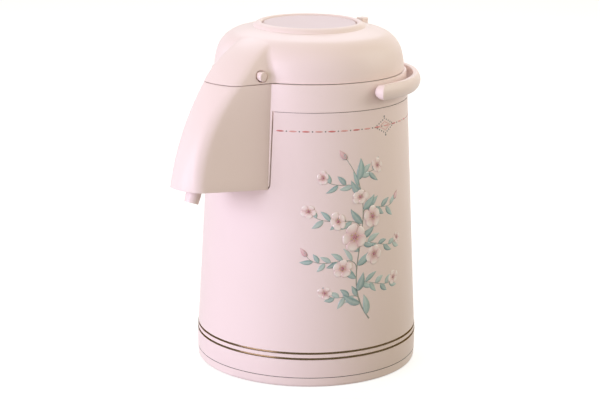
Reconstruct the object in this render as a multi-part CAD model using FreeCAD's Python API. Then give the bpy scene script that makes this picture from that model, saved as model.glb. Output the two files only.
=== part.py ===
import FreeCAD, Part
import math
import os

V = FreeCAD.Vector

# Pump pot, millimetres. +Z is up, the spout points to -Y, and the origin is on the pot's axis at the table.

# Fits
seam = 0.5               # open line between neighbouring casings
running_fit = 0.05       # radial play of a pin in its hole
press_play = 0.02        # radial play of a pin pressed into its boss
slide_play = 0.4         # play round a sliding piece
seat_play = 0.3          # play between pieces that come together when the lid closes

# Outer shell
base_height = 7.2
shell_foot_radius = 85.6
belly_inset = 0.1
belly_height = 23.3
cone_inset = 0.4
cone_foot_height = 27.5
shell_top_height = 207.8
shell_top_radius = 75.8
shell_wall = 1.0
belly_radius = shell_foot_radius - belly_inset
cone_foot_radius = shell_foot_radius - cone_inset

# Base ring and bottom cap
foot_inset = 2.2
foot_width = 7.4
foot_round_height = 2.4
foot_round_inset = 0.3
base_web_height = 3.0
base_wall = 2.4
base_spigot_height = 9.0
cap_radius = 46.0
cap_skirt_height = 18.0
cap_recess = 1.5
cap_wall = 2.4
cap_table_radius = 28.0
cap_table_height = 16.0
grip_bar_width = 5.0
foot_outer_radius = shell_foot_radius - foot_inset
foot_inner_radius = foot_outer_radius - foot_width

# Glass liner
cushion_height = 8.0
cushion_outer_radius = 26.0
cushion_inner_radius = 8.0
liner_room = 5.8         # from the shell's top to the liner's side
liner_floor_radius = 30.0
liner_neck_radius = 33.0
neck_length = 8.0
mouth_drop = 2.8         # the liner's lip below the shell's top
glass_wall = 2.0
vacuum_gap = 4.0
neck_gap = 1.0
seal_off_radius = 4.0
seal_off_length = 6.0
mouth_seal_height = 1.5
liner_radius = shell_top_radius - liner_room
mouth_height = shell_top_height - mouth_drop
liner_neck_height = mouth_height - neck_length

# Shoulder ring
shoulder_rise = 19.9     # from the seam over the shell to the parting line
shoulder_draft = 1.4
shoulder_wall = 2.4
shoulder_edge_round = 0.8
spigot_depth = 7.0
deck_drop = 7.2          # the deck below the parting line
deck_wall = 2.0
collar_play = 0.5        # the neck collar outside the liner's neck
collar_wall = 3.5
collar_stand = 1.5
shoulder_top_height = shell_top_height + seam + shoulder_rise
shoulder_top_radius = shell_top_radius - shoulder_draft
deck_top = shoulder_top_height - deck_drop
collar_inner_radius = liner_neck_radius + collar_play
collar_top = deck_top + collar_stand

# Spout housing: plan sizes at the parting line, half way down and at the foot, as reaches beyond the ring
spout_gauge_reach = 3.6  # where the half widths are given
spout_root = 35.4        # the plan's straight rear edge, inside the ring
spout_middle_drop = 38.2
spout_drop = 80.2
spout_top_reach = 26.6
spout_middle_reach = 53.8
spout_foot_reach = 65.5
spout_wall = 2.2
spout_rim_rise = 1.74
spout_rim_slope = 0.095
flange_half_width = 27.9
flange_seam = 1.0        # between the flange's upright edges and the shell
flange_thickness = 2.0
flange_corner = 3.0
spout_gauge = shoulder_top_radius + spout_gauge_reach
spout_rear = shoulder_top_radius - spout_root
spout_middle_height = shoulder_top_height - spout_middle_drop
spout_foot_height = shoulder_top_height - spout_drop
spout_rim_height = spout_foot_height + spout_rim_rise
spout_top = dict(apex=shoulder_top_radius + spout_top_reach, half_width=23.4, taper=0.308,
                 front_radius=38.0, corner_radius=11.0)
spout_middle = dict(apex=shoulder_top_radius + spout_middle_reach, half_width=25.4, taper=0.234,
                    front_radius=38.0, corner_radius=11.5)
spout_foot = dict(apex=shoulder_top_radius + spout_foot_reach, half_width=26.9, taper=0.179,
                  front_radius=24.0, corner_radius=10.0)

# Water way
pipe_radius = 4.5
pipe_bore_radius = 3.2
pipe_drop = 7.5          # the neck's pipe below the deck
pipe_bend = 14.0
dip_pipe_front = 14.0
dip_pipe_clear = 4.0     # the pipe's end above the liner's floor
dip_pipe_bend = 9.0
grommet_radius = 6.3
grommet_length = 6.0
nozzle_reach = 49.4      # beyond the ring
nozzle_rise = 1.3        # the nozzle's datum above the spout's rim
nozzle_tilt = 20.0
nozzle_root_radius = 5.7
nozzle_tip_radius = 5.25
nozzle_bore_radius = 3.6
nozzle_below = 7.2
nozzle_above = 9.0
nozzle_step = 1.6
cover_recess = 1.5
cover_wall = 2.0
pipe_height = deck_top - pipe_drop
dip_pipe_foot = cap_table_height + cushion_height + 2 * glass_wall + vacuum_gap + dip_pipe_clear
nozzle_front = shoulder_top_radius + nozzle_reach
nozzle_height = spout_rim_height + nozzle_rise

# Pump
plate_radius = 35.5
plate_sink = 1.0         # the plate's edge below the lid's rim
plate_dish = 0.8
plate_wall = 2.4
plate_skirt_height = 14.0
plate_play = 0.7         # radial play of the plate in its guide
bellows_cap_height = 3.5
bellows_cap_play = 0.5
bellows_inset = 2.6
bellows_fold_depth = 5.5
bellows_wall = 1.1
bellows_folds = 5
bellows_flange = 1.2
spring_radius = 13.0
spring_wire = 0.9
spring_turns = 5
spring_boss_height = 2.8
push_bore_radius = plate_radius + plate_play
bellows_cap_radius = plate_radius - plate_wall - bellows_cap_play
bellows_outer_radius = bellows_cap_radius - bellows_inset
bellows_inner_radius = bellows_outer_radius - bellows_fold_depth

# Lid
lid_step = 2.0           # the lid's edge inside the ring's
lid_wall = 2.4
dome_low = (0.2, 5.9)    # inset from the lid's edge and rise over its foot
dome_waist = (2.1, 14.9)
dome_turn = (6.5, 22.7)
dome_top = (15.2, 28.7)
dome_crown_rise = 30.6   # half way from there to the rim
rim_rise = 32.0
rim_width = 6.7
rim_height = 3.5
rim_top_width = 2.7
guide_length = 23.2
guide_wall = 2.0
nose_rises = (9.8, 19.8, 29.3)
nose_lower_reach = 18.8
nose_upper_reach = 5.1
nose_crown_reach = -18.4
valley_radius = 6.0
lid_plate_rise = 0.9
lid_plate_wall = 2.4
lid_plate_inset = 4.4
screw_circle = 55.0
screw_boss_radius = 4.0
screw_radius = 1.5
screw_head_radius = 3.0
screw_head_height = 1.8
screw_length = 12.0
lid_seal_lap = 1.0       # the seal inside the neck collar's bore
lid_seal_width = 6.0
valve_stem_radius = 2.0
valve_disc_radius = 9.0
valve_disc_wall = 1.0
air_hole_radius = 1.6
air_hole_circle = 6.0
air_hole_count = 6
lid_radius = shoulder_top_radius - lid_step
lid_foot_height = shoulder_top_height + seam
lid_plate_height = lid_foot_height + lid_plate_rise
lid_plate_radius = lid_radius - lid_plate_inset
lid_seal_inner_radius = collar_inner_radius - lid_seal_lap
lid_seal_outer_radius = lid_seal_inner_radius + lid_seal_width
rim_outer_radius = push_bore_radius + rim_width
rim_top_radius = push_bore_radius + rim_top_width
rim_foot_height = lid_foot_height + rim_rise
rim_top_height = rim_foot_height + rim_height
guide_foot_height = rim_top_height - guide_length
plate_top_height = rim_top_height - plate_sink
nose_heights = [lid_foot_height + rise for rise in nose_rises]
nose_lower = dict(apex=lid_radius + nose_lower_reach, half_width=20.4, taper=0.308,
                  front_radius=36.0, corner_radius=10.0)
nose_upper = dict(apex=lid_radius + nose_upper_reach, half_width=15.0, taper=0.308,
                  front_radius=33.0, corner_radius=9.0)
nose_crown = dict(apex=lid_radius + nose_crown_reach, half_width=8.0, taper=0.308,
                  front_radius=30.0, corner_radius=7.0)

# Pump lock
lock_half_width = 3.5
lock_edge = 6.9          # the knob's rear inside the lid's edge
lock_length = 7.5
lock_sink = 0.1          # the knob's top below the rim's foot
lock_travel = 5.0
lock_tongue_half_width = 6.0
lock_tongue_rise = 3.0   # the tongue above the guide's foot
lock_tongue_wall = 2.2
lock_tongue_gap = 4.0    # the tongue's tip outside the guide
rail_width = 3.0
rail_wall = 2.2
lock_rear = lid_radius - lock_edge
lock_top_height = rim_foot_height - lock_sink
lock_tongue_height = guide_foot_height + lock_tongue_rise
lock_tongue_tip = push_bore_radius + guide_wall + lock_tongue_gap

# Lid hinge
hinge_outset = 0.2       # the hinge's axis behind the lid's edge
hinge_rise = 3.8         # and above the parting line
hinge_pin_radius = 1.5
knuckle_radius = 2.7
knuckle_half_length = 8.5
ear_thickness = 4.4
bracket_drop = 14.2
hinge_back = lid_radius + hinge_outset
hinge_height = shoulder_top_height + hinge_rise
bracket_foot_height = shoulder_top_height - bracket_drop

# Handle
handle_stand = 3.6       # the bow outside the shell's top
handle_thickness = 6.0
handle_crown = 2.4
handle_edge_round = 1.0
handle_width = 11.5
handle_drop = 7.25       # the pivots below the parting line
pivot_front = 6.8
pivot_radius = 2.5
pivot_boss_radius = 5.0
pivot_boss_depth = 9.0
pivot_reach = 2.4
handle_inner_radius = shell_top_radius + handle_stand
handle_height = shoulder_top_height - handle_drop

# Release buttons
button_reach = 3.8       # beyond the lid's edge
button_rise = 5.2        # above the lid's foot
button_radius = 3.6
button_stand = 2.6
button_round = 0.8
button_dish_radius = 4.8
button_dish_depth = 0.8
button_flange_radius = 4.6
button_flange_wall = 2.2
button_stem_radius = 1.8
button_stem_length = 7.5
button_rib = 8.0
button_rib_wall = 2.0
button_spring_radius = 2.75
button_spring_wire = 0.35
button_spring_turns = 3
latch_half_width = 2.2
latch_drop = 11.1
latch_barb = 0.8
latch_barb_height = 3.0
strike_wall = 1.8
button_front = lid_radius + button_reach
button_height = lid_foot_height + button_rise
latch_foot_height = button_height - latch_drop


def line(a, b):
    return Part.LineSegment(V(*a), V(*b)).toShape()


def arc(a, middle, b):
    return Part.Arc(V(*a), V(*middle), V(*b)).toShape()


def box(low, high):
    size = [b - a for a, b in zip(low, high)]
    return Part.makeBox(*size, V(*low))


def rod(radius, start, end):
    """A straight round bar between two points."""
    axis = V(*end) - V(*start)
    return Part.makeCylinder(radius, axis.Length, V(*start), axis)


def turned(path):
    """A solid of revolution about Z; each step is (r, z), or (r, z) of an arc's middle and end."""
    edges = []
    here = path[0]
    for step in list(path[1:]) + [path[0]]:
        end = step[-2:]
        start3 = (here[0], 0, here[1])
        end3 = (end[0], 0, end[1])
        if len(step) == 4:
            edges.append(arc(start3, (step[0], 0, step[1]), end3))
        elif math.dist(here, end) > 1e-6:
            edges.append(line(start3, end3))
        here = end
    face = Part.Face(Part.Wire(edges))
    return face.revolve(V(0, 0, 0), V(0, 0, 1), 360)


def fused(shapes):
    return shapes[0].multiFuse(shapes[1:]).removeSplitter()


def mirrored(shape):
    return shape.mirror(V(0, 0, 0), V(1, 0, 0))


def both_sides(shape):
    return Part.makeCompound([shape, mirrored(shape)])


def swept(points, bend, radius):
    """A round bar along straight runs joined by tangent arcs."""
    points = [V(*p) for p in points]
    edges = []
    here = points[0]
    for before, corner, after in zip(points, points[1:], points[2:]):
        back = (before - corner).normalize()
        on = (after - corner).normalize()
        half_turn = (math.pi - back.getAngle(on)) / 2
        reach = bend * math.tan(half_turn)
        inward = (back + on).normalize()
        centre = corner + inward * (bend / math.cos(half_turn))
        start = corner + back * reach
        end = corner + on * reach
        edges.append(Part.LineSegment(here, start).toShape())
        edges.append(Part.Arc(start, centre - inward * bend, end).toShape())
        here = end
    edges.append(Part.LineSegment(here, points[-1]).toShape())
    section = Part.Wire(Part.makeCircle(radius, points[0], points[1] - points[0]))
    return Part.Wire(edges).makePipeShell([section], True, False)


def tube(points, bend, radius, bore):
    return swept(points, bend, radius).cut(swept(points, bend, bore))


def biarc(start, start_way, end, end_way):
    """Two tangent arcs that join two points along the given directions."""
    chord = end - start
    ways = start_way + end_way
    bend = 2 * (1 - start_way.dot(end_way))
    along = chord.dot(ways)
    reach = (math.sqrt(along * along + bend * chord.dot(chord)) - along) / bend
    first = start + start_way * reach
    second = end - end_way * reach
    joint = (first + second) * 0.5
    edges = []
    for a, corner, b in ((start, first, joint), (joint, second, end)):
        foot = (a + b) * 0.5
        sag = (foot - corner).Length
        radius = reach * (a - foot).Length / sag
        middle = corner + (foot - corner) * ((reach * reach / sag - radius) / sag)
        edges.append(Part.Arc(a, middle, b).toShape())
    return edges


def coil(radius, wire, low, high, turns, name):
    """A compression spring about Z, as one tube on quarter turns."""
    rise = (high - low - 2 * wire) / turns
    slope = rise / (2 * math.pi)

    def place(turn):
        angle = 2 * math.pi * turn
        return V(radius * math.cos(angle), radius * math.sin(angle), low + wire + rise * turn)

    def way(turn):
        angle = 2 * math.pi * turn
        return V(-radius * math.sin(angle), radius * math.cos(angle), slope).normalize()

    edges = []
    for quarter in range(4 * turns):
        a = quarter / 4
        b = a + 0.25
        edges += biarc(place(a), way(a), place(b), way(b))
    print(name, "least gap between turns %.2f mm" % (rise * math.cos(math.atan2(rise, 2 * math.pi * radius))
                                                     - 2 * wire))
    section = Part.Wire(Part.makeCircle(wire, place(0), way(0)))
    return Part.Wire(edges).makePipeShell([section], True, False)


def cone_radius(height):
    """Outside radius of the shell's cone."""
    fall = (shell_top_radius - cone_foot_radius) / (shell_top_height - cone_foot_height)
    return cone_foot_radius + fall * (height - cone_foot_height)


def plan_outline(height, apex, half_width, taper, front_radius, corner_radius):
    """Plan of the spout or nose: straight tapering sides, rounded corners and a gently bowed front."""
    slant = math.hypot(taper, 1)
    front_centre = apex - front_radius
    limit = half_width + taper * spout_gauge - corner_radius * slant
    reach = front_radius - corner_radius
    # the corner's centre lies on the side line moved inwards and on the front circle moved inwards
    a = slant * slant
    b = -2 * (front_centre + taper * limit)
    c = front_centre * front_centre + limit * limit - reach * reach
    forward = (-b + math.sqrt(b * b - 4 * a * c)) / (2 * a)
    aside = limit - taper * forward
    turn_start = math.atan2(1, taper)
    turn_end = math.atan2(aside, forward - front_centre)

    def corner(turn):
        return forward + corner_radius * math.cos(turn), aside + corner_radius * math.sin(turn)

    def at(point, side):
        return point[1] * side, -point[0], height

    rear = (spout_rear, half_width - taper * (spout_rear - spout_gauge))
    side_end = corner(turn_start)
    middle = corner((turn_start + turn_end) / 2)
    front_end = corner(turn_end)
    return Part.Wire([
        line(at(rear, 1), at(side_end, 1)),
        arc(at(side_end, 1), at(middle, 1), at(front_end, 1)),
        arc(at(front_end, 1), (0, -apex, height), at(front_end, -1)),
        arc(at(front_end, -1), at(middle, -1), at(side_end, -1)),
        line(at(side_end, -1), at(rear, -1)),
        line(at(rear, -1), at(rear, 1)),
    ])


def inset(plan, depth, lean):
    """The same plan moved inwards by a wall; a leaning front takes a longer step."""
    return dict(
        apex=plan["apex"] - depth * lean,
        half_width=plan["half_width"] - depth * math.hypot(plan["taper"], 1),
        taper=plan["taper"],
        front_radius=plan["front_radius"] - depth,
        corner_radius=plan["corner_radius"] - depth,
    )


def front_lean(low, low_plan, high, high_plan):
    """Length along the level that a wall of unit thickness takes in a leaning front."""
    return math.hypot(1, (low_plan["apex"] - high_plan["apex"]) / (high - low))


def spout_form(depth):
    """Solid of the spout housing, moved inwards by a depth."""
    lean = front_lean(spout_foot_height, spout_foot, shoulder_top_height, spout_top)
    levels = ((spout_foot_height, spout_foot), (spout_middle_height, spout_middle),
              (shoulder_top_height, spout_top))
    return Part.makeLoft([plan_outline(z, **inset(plan, depth, lean)) for z, plan in levels], True)


def nose_form(depth):
    """Solid of the lid's nose, moved inwards by a depth; its foot matches the top of the spout."""
    foot = lid_foot_height
    levels = ((foot, spout_top), (nose_heights[0], nose_lower), (nose_heights[1], nose_upper),
              (nose_heights[2], nose_crown))
    lean = front_lean(foot, spout_top, nose_heights[1], nose_upper)
    drop = depth * lean
    wires = []
    for z, plan in levels:
        level = z if z == foot else z - drop * (z - foot) / (nose_heights[2] - foot)
        wires.append(plan_outline(level, **inset(plan, depth, lean)))
    return Part.makeLoft(wires, True)


def below_rim():
    """Everything under the spout's sloping lower edge."""
    size = 300.0
    low = spout_rim_height - spout_rim_slope * shoulder_top_radius
    profile = Part.makePolygon([V(0, 0, low), V(0, -size, low + spout_rim_slope * size),
                                V(0, -size, -size), V(0, 0, -size), V(0, 0, low)])
    slab = Part.Face(profile).extrude(V(size, 0, 0))
    slab.translate(V(-size / 2, 0, 0))
    return slab


def flange_window(play, side_play):
    """Upright slab in front of the axis with rounded lower corners, as wide as the spout's flange."""
    half = flange_half_width + side_play
    low = spout_rim_height + seam - play
    round_by = flange_corner + play
    mid = round_by * (1 - math.sqrt(0.5))
    face = Part.Face(Part.Wire([
        line((half, 0, shoulder_top_height), (half, 0, low + round_by)),
        arc((half, 0, low + round_by), (half - mid, 0, low + mid), (half - round_by, 0, low)),
        line((half - round_by, 0, low), (round_by - half, 0, low)),
        arc((round_by - half, 0, low), (mid - half, 0, low + mid), (-half, 0, low + round_by)),
        line((-half, 0, low + round_by), (-half, 0, shoulder_top_height)),
        line((-half, 0, shoulder_top_height), (half, 0, shoulder_top_height)),
    ]))
    return face.extrude(V(0, -cone_foot_radius - spout_wall, 0))


def outer_shell():
    """Tapered sheet sleeve, notched at the front for the spout's flange."""
    foot = base_height + seam
    sleeve = turned([
        (shell_foot_radius, foot),
        (belly_radius, belly_height, cone_foot_radius, cone_foot_height),
        (shell_top_radius, shell_top_height),
        (shell_top_radius - shell_wall, shell_top_height),
        (cone_foot_radius - shell_wall, cone_foot_height),
        (belly_radius - shell_wall, belly_height, shell_foot_radius - shell_wall, foot),
    ])
    return sleeve.cut(flange_window(seam, flange_seam))


def base_ring():
    """Moulded ring with a foot, a spigot for the shell and a collar for the bottom cap."""
    land = shell_foot_radius - shell_wall / 2
    spigot = shell_foot_radius - shell_wall - press_play
    spigot_top = base_height + base_spigot_height
    web_top = base_web_height + base_wall
    collar = cap_radius + slide_play
    side = shell_foot_radius - foot_round_inset
    bulge = (side - foot_outer_radius) * (1 - math.sqrt(0.5))
    return turned([
        (foot_inner_radius, 0),
        (foot_outer_radius, 0),
        (side - bulge, foot_round_height * (1 - math.sqrt(0.5)), side, foot_round_height),
        (shell_foot_radius, base_height),
        (land, base_height),
        (land, base_height + seam),
        (spigot, base_height + seam),
        (spigot, spigot_top),
        (spigot - base_wall, spigot_top),
        (spigot - base_wall, web_top),
        (collar + base_wall, web_top),
        (collar + base_wall, cap_skirt_height),
        (collar, cap_skirt_height),
        (collar, base_web_height),
        (foot_inner_radius, base_web_height),
    ])


def bottom_cap():
    """Screwed-in cap whose table holds the liner's cushion, with a grip bar across its recess."""
    table_inside = cap_table_radius - cap_wall
    web_low = base_web_height + seam
    web_top = web_low + cap_wall
    cap = turned([
        (0, cap_table_height),
        (cap_table_radius, cap_table_height),
        (cap_table_radius, web_top),
        (cap_radius - cap_wall, web_top),
        (cap_radius - cap_wall, cap_skirt_height),
        (cap_radius, cap_skirt_height),
        (cap_radius, cap_recess),
        (cap_radius - cap_wall, cap_recess),
        (cap_radius - cap_wall, web_low),
        (table_inside, web_low),
        (table_inside, cap_table_height - cap_wall),
        (0, cap_table_height - cap_wall),
    ])
    half = grip_bar_width / 2
    bar = box((-table_inside - cap_wall / 2, -half, web_low),
              (table_inside + cap_wall / 2, half, cap_table_height - cap_wall / 2))
    return fused([cap, bar])


def liner_cushion():
    """Rubber ring between the cap's table and the liner's floor, open for the sealed glass tip."""
    top = cap_table_height + cushion_height
    return turned([
        (cushion_inner_radius, cap_table_height),
        (cushion_outer_radius, cap_table_height),
        (cushion_outer_radius, top),
        (cushion_inner_radius, top),
    ])


def liner_form(depth, neck_depth, top):
    """Bottle shape moved inwards by a depth, closed at a given height."""
    floor = cap_table_height + cushion_height + depth
    side = liner_radius - depth
    bend = side - liner_floor_radius
    diagonal = bend * math.sqrt(0.5)
    turn = side - liner_neck_radius
    turn_diagonal = turn * math.sqrt(0.5)
    turn_top = liner_neck_height - depth
    neck = liner_neck_radius - neck_depth
    return turned([
        (0, floor),
        (liner_floor_radius, floor),
        (liner_floor_radius + diagonal, floor + bend - diagonal, side, floor + bend),
        (side, turn_top - turn),
        (side - turn + turn_diagonal, turn_top - turn + turn_diagonal, liner_neck_radius, turn_top),
        (neck, turn_top),
        (neck, top),
        (0, top),
    ])


def inner_bottle():
    """Inner glass bottle that holds the drink, with the lip that is melted onto the outer one."""
    depth = glass_wall + vacuum_gap
    bottle = liner_form(depth, glass_wall + neck_gap, mouth_height)
    room = liner_form(depth + glass_wall, 2 * glass_wall + neck_gap, mouth_height + glass_wall)
    lip = rod(liner_neck_radius, (0, 0, mouth_height - glass_wall), (0, 0, mouth_height))
    return fused([bottle, lip]).cut(room)


def below_turn():
    """Everything under the height at which the inner bottle's side turns in towards the neck."""
    depth = glass_wall + vacuum_gap
    turn = liner_radius - depth - liner_neck_radius
    return rod(liner_radius, (0, 0, 0), (0, 0, liner_neck_height - depth - turn))


def glass_flask():
    """Floor and side of the inner bottle."""
    return inner_bottle().common(below_turn())


def flask_neck():
    """Turned-in shoulder, neck and lip of the inner bottle, in one with its side."""
    return inner_bottle().cut(below_turn())


def glass_jacket():
    """Outer glass bottle round the vacuum, with its sealed tip below."""
    floor = cap_table_height + cushion_height
    bottle = liner_form(0, 0, mouth_height - glass_wall)
    tip = Part.makeCone(seal_off_radius / 4, seal_off_radius, seal_off_length,
                        V(0, 0, floor - seal_off_length))
    return fused([bottle, tip]).cut(liner_form(glass_wall, glass_wall, mouth_height))


def mouth_seal():
    """Rubber ring that closes the gap between the liner's lip and the shoulder's collar."""
    inner = collar_inner_radius - collar_wall
    outer = collar_inner_radius + collar_wall
    top = mouth_height + mouth_seal_height
    return turned([(inner, mouth_height), (outer, mouth_height), (outer, top), (inner, top)])


def shoulder_ring():
    """Ring above the shell, with its spigot, deck and neck collar."""
    foot = shell_top_height + seam
    spigot = shell_top_radius - shell_wall - press_play
    inside = shoulder_top_radius - shoulder_wall
    spigot_inside = spigot - shoulder_wall
    collar = collar_inner_radius + collar_wall
    under_deck = deck_top - deck_wall
    collar_foot = mouth_height + mouth_seal_height
    edge = shoulder_edge_round
    cut_in = edge * (1 - math.sqrt(0.5))
    return turned([
        (cone_radius(foot), foot),
        (shoulder_top_radius, shoulder_top_height - edge),
        (shoulder_top_radius - cut_in, shoulder_top_height - cut_in,
         shoulder_top_radius - edge, shoulder_top_height),
        (inside, shoulder_top_height),
        (inside, deck_top),
        (collar, deck_top),
        (collar, collar_top),
        (collar_inner_radius, collar_top),
        (collar_inner_radius, collar_foot),
        (collar, collar_foot),
        (collar, under_deck),
        (spigot_inside, under_deck),
        (spigot_inside, foot - spigot_depth),
        (spigot, foot - spigot_depth),
        (spigot, foot),
    ])


def pot_core():
    """Room inside the flange, the ring and the shell, which the spout's walls stay out of."""
    foot = shell_top_height + seam
    low = spout_foot_height - spout_wall
    inside = shoulder_top_radius - shoulder_wall
    return turned([
        (0, low),
        (cone_radius(low) - flange_thickness, low),
        (cone_radius(foot) - flange_thickness, foot),
        (inside, foot),
        (inside, lid_foot_height),
        (0, lid_foot_height),
    ])


def shell_room(play):
    """Everything inside the shell's outer surface in the upper half, widened by a play."""
    low = spout_foot_height - spout_wall
    high = shell_top_height + seam
    return turned([(0, low), (cone_radius(low) + play, low), (cone_radius(high) + play, high), (0, high)])


def spout_flange():
    """Curved plate that fills the shell's notch and lies flush with the shell."""
    foot = shell_top_height + seam
    low = spout_foot_height
    plate = turned([
        (cone_radius(low), low),
        (cone_radius(foot), foot),
        (cone_radius(foot) - flange_thickness, foot),
        (cone_radius(low) - flange_thickness, low),
    ])
    return plate.common(flange_window(0, 0))


def hinge_bracket():
    """Bracket on the back of the ring with two ears for the lid's hinge pin."""
    inner = knuckle_half_length + slide_play
    outer = inner + ear_thickness
    front = hinge_back - knuckle_radius
    rear = hinge_back + knuckle_radius
    eye = rod(knuckle_radius, (-outer, hinge_back, hinge_height), (outer, hinge_back, hinge_height))
    leg = Part.Face(Part.makePolygon([
        V(-outer, front, hinge_height),
        V(-outer, rear, hinge_height),
        V(-outer, rear, deck_top),
        V(-outer, front, bracket_foot_height),
        V(-outer, front, hinge_height),
    ])).extrude(V(2 * outer, 0, 0))
    gap = box((-inner, front, shoulder_top_height), (inner, rear, hinge_height + knuckle_radius))
    return eye.fuse(leg).cut(gap)


def strike(side):
    """Ledge in the spout's wall that the release button's latch catches under."""
    reach = latch_plane() + latch_barb + slide_play
    low = latch_foot_height + latch_barb_height + slide_play
    depth = button_front + latch_half_width + slide_play
    near = button_front - latch_half_width - slide_play
    root = spout_top["half_width"] - spout_top["taper"] * (depth - spout_gauge) - spout_wall / 2
    return box((min(side * reach, side * root), -depth, low),
               (max(side * reach, side * root), -near, low + strike_wall))


def shoulder():
    """The ring and the hollow spout housing as one moulding."""
    outer = spout_form(0)
    inner = spout_form(spout_wall)
    wide = 2 * cone_foot_radius
    under_deck = deck_top - deck_wall
    room_below = inner.common(box((-wide, -wide, 0), (wide, 0, under_deck)))
    room_above = inner.common(box((-wide, -wide, deck_top), (wide, 0, lid_foot_height)))
    beside_flange = shell_room(seat_play).cut(flange_window(0, 0))
    housing = outer.cut([room_below, room_above, pot_core(), below_rim(), beside_flange])
    boss = rod(pivot_boss_radius, (shoulder_top_radius - pivot_boss_depth, -pivot_front, handle_height),
               (shoulder_top_radius - shoulder_wall, -pivot_front, handle_height))
    strikes = [strike(1), strike(-1)]
    ring = shoulder_ring().cut(room_above)
    body = fused([ring, housing, spout_flange(), hinge_bracket(), boss, mirrored(boss)] + strikes)
    pipe_way = box((-grommet_radius - seam, -spout_gauge - pipe_radius, shell_top_height + seam),
                   (grommet_radius + seam, -collar_inner_radius - 2 * collar_wall, under_deck))
    grommet_hole = rod(grommet_radius, (0, 0, pipe_height), (0, -spout_rear, pipe_height))
    reach = handle_inner_radius
    pivot_hole = rod(pivot_radius + press_play, (-reach, -pivot_front, handle_height),
                     (reach, -pivot_front, handle_height))
    hinge_hole = rod(hinge_pin_radius + press_play, (-reach, hinge_back, hinge_height),
                     (reach, hinge_back, hinge_height))
    return body.cut([pipe_way, grommet_hole, pivot_hole, hinge_hole])


def nozzle_way(distance):
    """Point on the nozzle's axis; a positive distance is further down."""
    tilt = math.radians(nozzle_tilt)
    return 0, -nozzle_front - distance * math.sin(tilt), nozzle_height - distance * math.cos(tilt)


def spout_cover():
    """Plate that closes the spout from below, set into its rim, with a hole for the nozzle."""
    lift = cover_recess
    rise = math.hypot(1, spout_rim_slope)
    under = below_rim()
    under.translate(V(0, 0, lift))
    over = below_rim()
    over.translate(V(0, 0, lift + cover_wall * rise))
    plate = spout_form(spout_wall + seat_play).common(over).cut([under, pot_core()])
    hole = rod(nozzle_root_radius + seat_play, nozzle_way(-nozzle_above), nozzle_way(nozzle_below))
    return plate.cut([shell_room(seat_play), hole])


def nozzle():
    """Tapered tube held in the cover; the spout pipe ends on a step in its upper bore."""
    body = turned([
        (nozzle_bore_radius, -nozzle_below),
        (nozzle_tip_radius, -nozzle_below),
        (nozzle_root_radius, -cover_recess),
        (nozzle_root_radius, nozzle_above),
        (pipe_radius + press_play, nozzle_above),
        (pipe_radius + press_play, nozzle_step),
        (nozzle_bore_radius, nozzle_step),
    ])
    body.rotate(V(0, 0, 0), V(1, 0, 0), -nozzle_tilt)
    body.translate(V(0, -nozzle_front, nozzle_height))
    return body


def spout_pipe():
    """Bent pipe from the neck's grommet through the housing into the nozzle."""
    start = collar_inner_radius + collar_wall / 2 + press_play
    rise = (pipe_height - nozzle_height) / math.cos(math.radians(nozzle_tilt))
    end = nozzle_way(-nozzle_step - press_play)
    points = [(0, -start, pipe_height), nozzle_way(-rise), end]
    return tube(points, pipe_bend, pipe_radius, pipe_bore_radius)


def dip_pipe():
    """Pipe from the liner's floor up to the grommet in the neck."""
    end = collar_inner_radius + collar_wall / 2 - press_play
    points = [(0, -dip_pipe_front, dip_pipe_foot), (0, -dip_pipe_front, pipe_height),
              (0, -end, pipe_height)]
    return tube(points, dip_pipe_bend, pipe_radius, pipe_bore_radius)


def pipe_seal():
    """Rubber grommet in the neck that holds the ends of both pipes."""
    middle = collar_inner_radius + collar_wall / 2
    ends = ((0, -middle + grommet_length / 2, pipe_height), (0, -middle - grommet_length / 2, pipe_height))
    return rod(grommet_radius - press_play, *ends).cut(rod(pipe_radius + press_play, *ends))


def hinge_pin():
    reach = knuckle_half_length + slide_play + ear_thickness
    return rod(hinge_pin_radius, (-reach, hinge_back, hinge_height), (reach, hinge_back, hinge_height))


def handle_pivots():
    """Two stub pins pressed into the ring's bosses, on which the handle turns."""
    start = shoulder_top_radius - pivot_boss_depth
    end = handle_inner_radius + pivot_reach - seam
    pivot = rod(pivot_radius, (start, -pivot_front, handle_height), (end, -pivot_front, handle_height))
    return both_sides(pivot)


def dome_path(depth):
    """Arcs of the lid's dome from its lower edge to the rim's foot, moved inwards by a depth."""
    diagonal = depth * math.sqrt(0.5)
    steep = depth * 0.94
    flat = depth * 0.34

    def at(point, inwards, downwards):
        return lid_radius - point[0] - inwards, lid_foot_height + point[1] - downwards

    top = at(dome_top, flat, steep)
    return [
        (lid_radius - depth, lid_foot_height),
        at(dome_low, depth, 0) + at(dome_waist, steep, flat),
        at(dome_turn, diagonal, diagonal) + top,
        ((top[0] + rim_outer_radius) / 2, lid_foot_height + dome_crown_rise - depth,
         rim_outer_radius, rim_foot_height - depth),
    ]


def dome_room(depth):
    """Solid of the dome moved inwards by a depth, up to the rim's foot."""
    path = dome_path(depth)
    return turned([(0, path[0][1])] + path + [(0, path[-1][-1])])


def dome_wall():
    """The lid's domed wall with its raised rim and the push plate's guide tube."""
    rim_inner = push_bore_radius
    rim_shoulder = rim_top_height - (rim_top_radius - rim_inner) / 2
    outside = dome_path(0)
    inside = dome_path(lid_wall)
    tube_outer = push_bore_radius + guide_wall
    crown = inside[-1][-2:]
    path = outside + [
        (rim_outer_radius - 1.4, rim_foot_height + 2.0, rim_top_radius, rim_top_height),
        (rim_inner + 0.8, rim_top_height - 0.35, rim_inner, rim_shoulder),
        (rim_inner, guide_foot_height),
        (tube_outer, guide_foot_height),
        (tube_outer, crown[1]),
        crown,
        inside[3][:2] + inside[2][-2:],
        inside[2][:2] + inside[1][-2:],
        inside[1][:2] + inside[0],
    ]
    return turned(path)


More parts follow.
